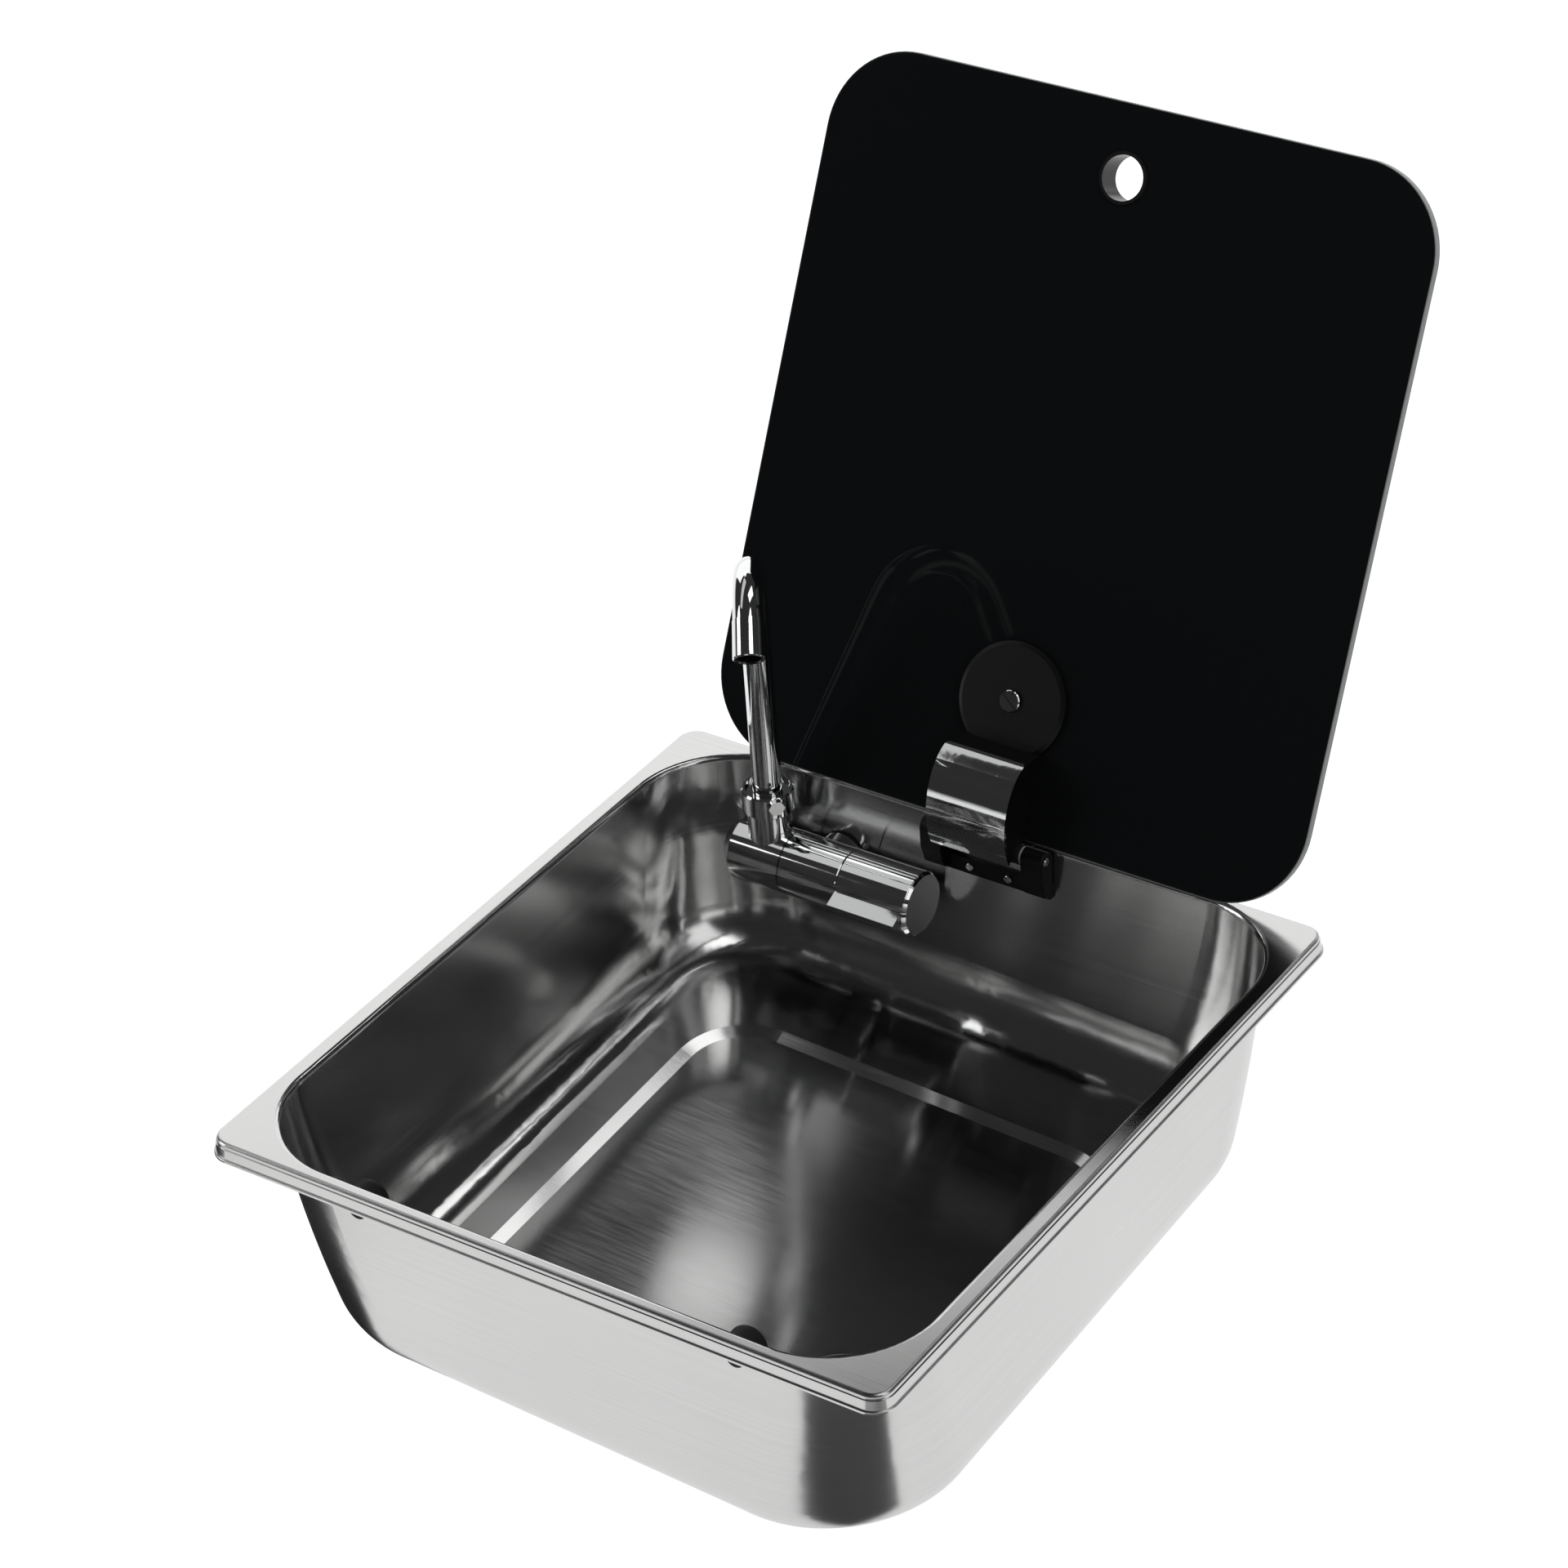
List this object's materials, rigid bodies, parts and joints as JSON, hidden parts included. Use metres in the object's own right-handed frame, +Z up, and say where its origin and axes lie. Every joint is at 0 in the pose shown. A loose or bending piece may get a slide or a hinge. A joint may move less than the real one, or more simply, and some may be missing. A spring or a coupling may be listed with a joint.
{
  "type": "rv sink with glass lid",
  "caption": "Inset steel kitchen sink for a camper van, with a hinged dark glass lid and a swivelling tap that folds down under it.",
  "frame": {"origin": "plan centre of the rim, on the worktop plane that the lip and the seal rest on", "axes": "+Z up, the front of the sink at -Y, the hinge and the tap at +Y; +X to the right"},
  "size_m": [0.402, 0.5918, 0.5446],
  "materials": {
    "bowl_steel": "satin, softly brushed",
    "polished_steel": "polished",
    "chrome": "bright plated",
    "black_glass": "black tempered glass, polished edges",
    "black_plastic": "fine moulded texture",
    "finger_ring": "smooth moulded",
    "rubber": "matt",
    "brass": "turned",
    "bush_plastic": "natural"
  },
  "bodies": {
    "sink": {"sink_bowl": "bowl_steel", "rim_seal": "rubber", "lid_buffers": "rubber", "waste_flange": "polished_steel", "waste_gasket": "rubber", "waste_nut": "black_plastic", "waste_body": "black_plastic", "hinge_bracket": "black_plastic", "hinge_bracket_screws": "polished_steel", "hinge_bracket_nuts": "polished_steel", "hinge_pin": "polished_steel", "hinge_bushes": "bush_plastic", "tap_body": "chrome", "tap_cartridge": "brass", "tap_shank": "brass", "shank_washers": "rubber", "shank_nut": "brass", "inlet_tail": "brass"},
    "lid": {"lid_glass": "black_glass", "finger_grommet": "finger_ring", "hinge_arm": "black_plastic", "hinge_cover": "chrome", "clamp_screw": "polished_steel", "glass_washers": "rubber", "lid_top_cap": "black_plastic"},
    "spout_foot": {"tap_elbow": "chrome", "elbow_plug": "chrome", "fold_orings": "rubber", "spout_ring_nut": "chrome", "collar_lock_screw": "polished_steel"},
    "spout": {"spout_tube": "chrome", "spout_orings": "rubber", "spout_nozzle": "chrome", "spout_aerator": "black_plastic"},
    "handle": {"tap_handle": "chrome", "handle_screw": "polished_steel", "handle_end_cap": "chrome", "cartridge_spindle": "brass"},
    "plug": {"waste_plug": "rubber"}
  },
  "joints": [
    {"name": "lid_hinge", "type": "hinge", "parent": "sink", "child": "lid", "pos_m": [0, 0.1982, 0.0058], "axis": [1, 0, 0], "range_deg": [0, 116.4]},
    {"name": "spout_fold", "type": "hinge", "parent": "sink", "child": "spout_foot", "pos_m": [-0.127, 0.1805, -0.0338], "axis": [1, 0, 0], "range_deg": [0, 85.01]},
    {"name": "spout_swivel", "type": "hinge", "parent": "spout_foot", "child": "spout", "pos_m": [-0.127, 0.1805, 0.01], "axis": [0, 0, 1], "range_deg": [-48, 57]},
    {"name": "tap_handle_turn", "type": "hinge", "parent": "sink", "child": "handle", "pos_m": [-0.056, 0.1805, -0.0338], "axis": [1, 0, 0], "range_deg": [-90, 0]},
    {"name": "plug_lift", "type": "slide", "parent": "sink", "child": "plug", "axis": [0.0504, -0.0484, 0.9976], "range_m": [0, 0.02]}
  ],
  "couplings": [
    {"joint": "spout_fold", "follows": "lid_hinge", "ratio": 0.73024}
  ]
}
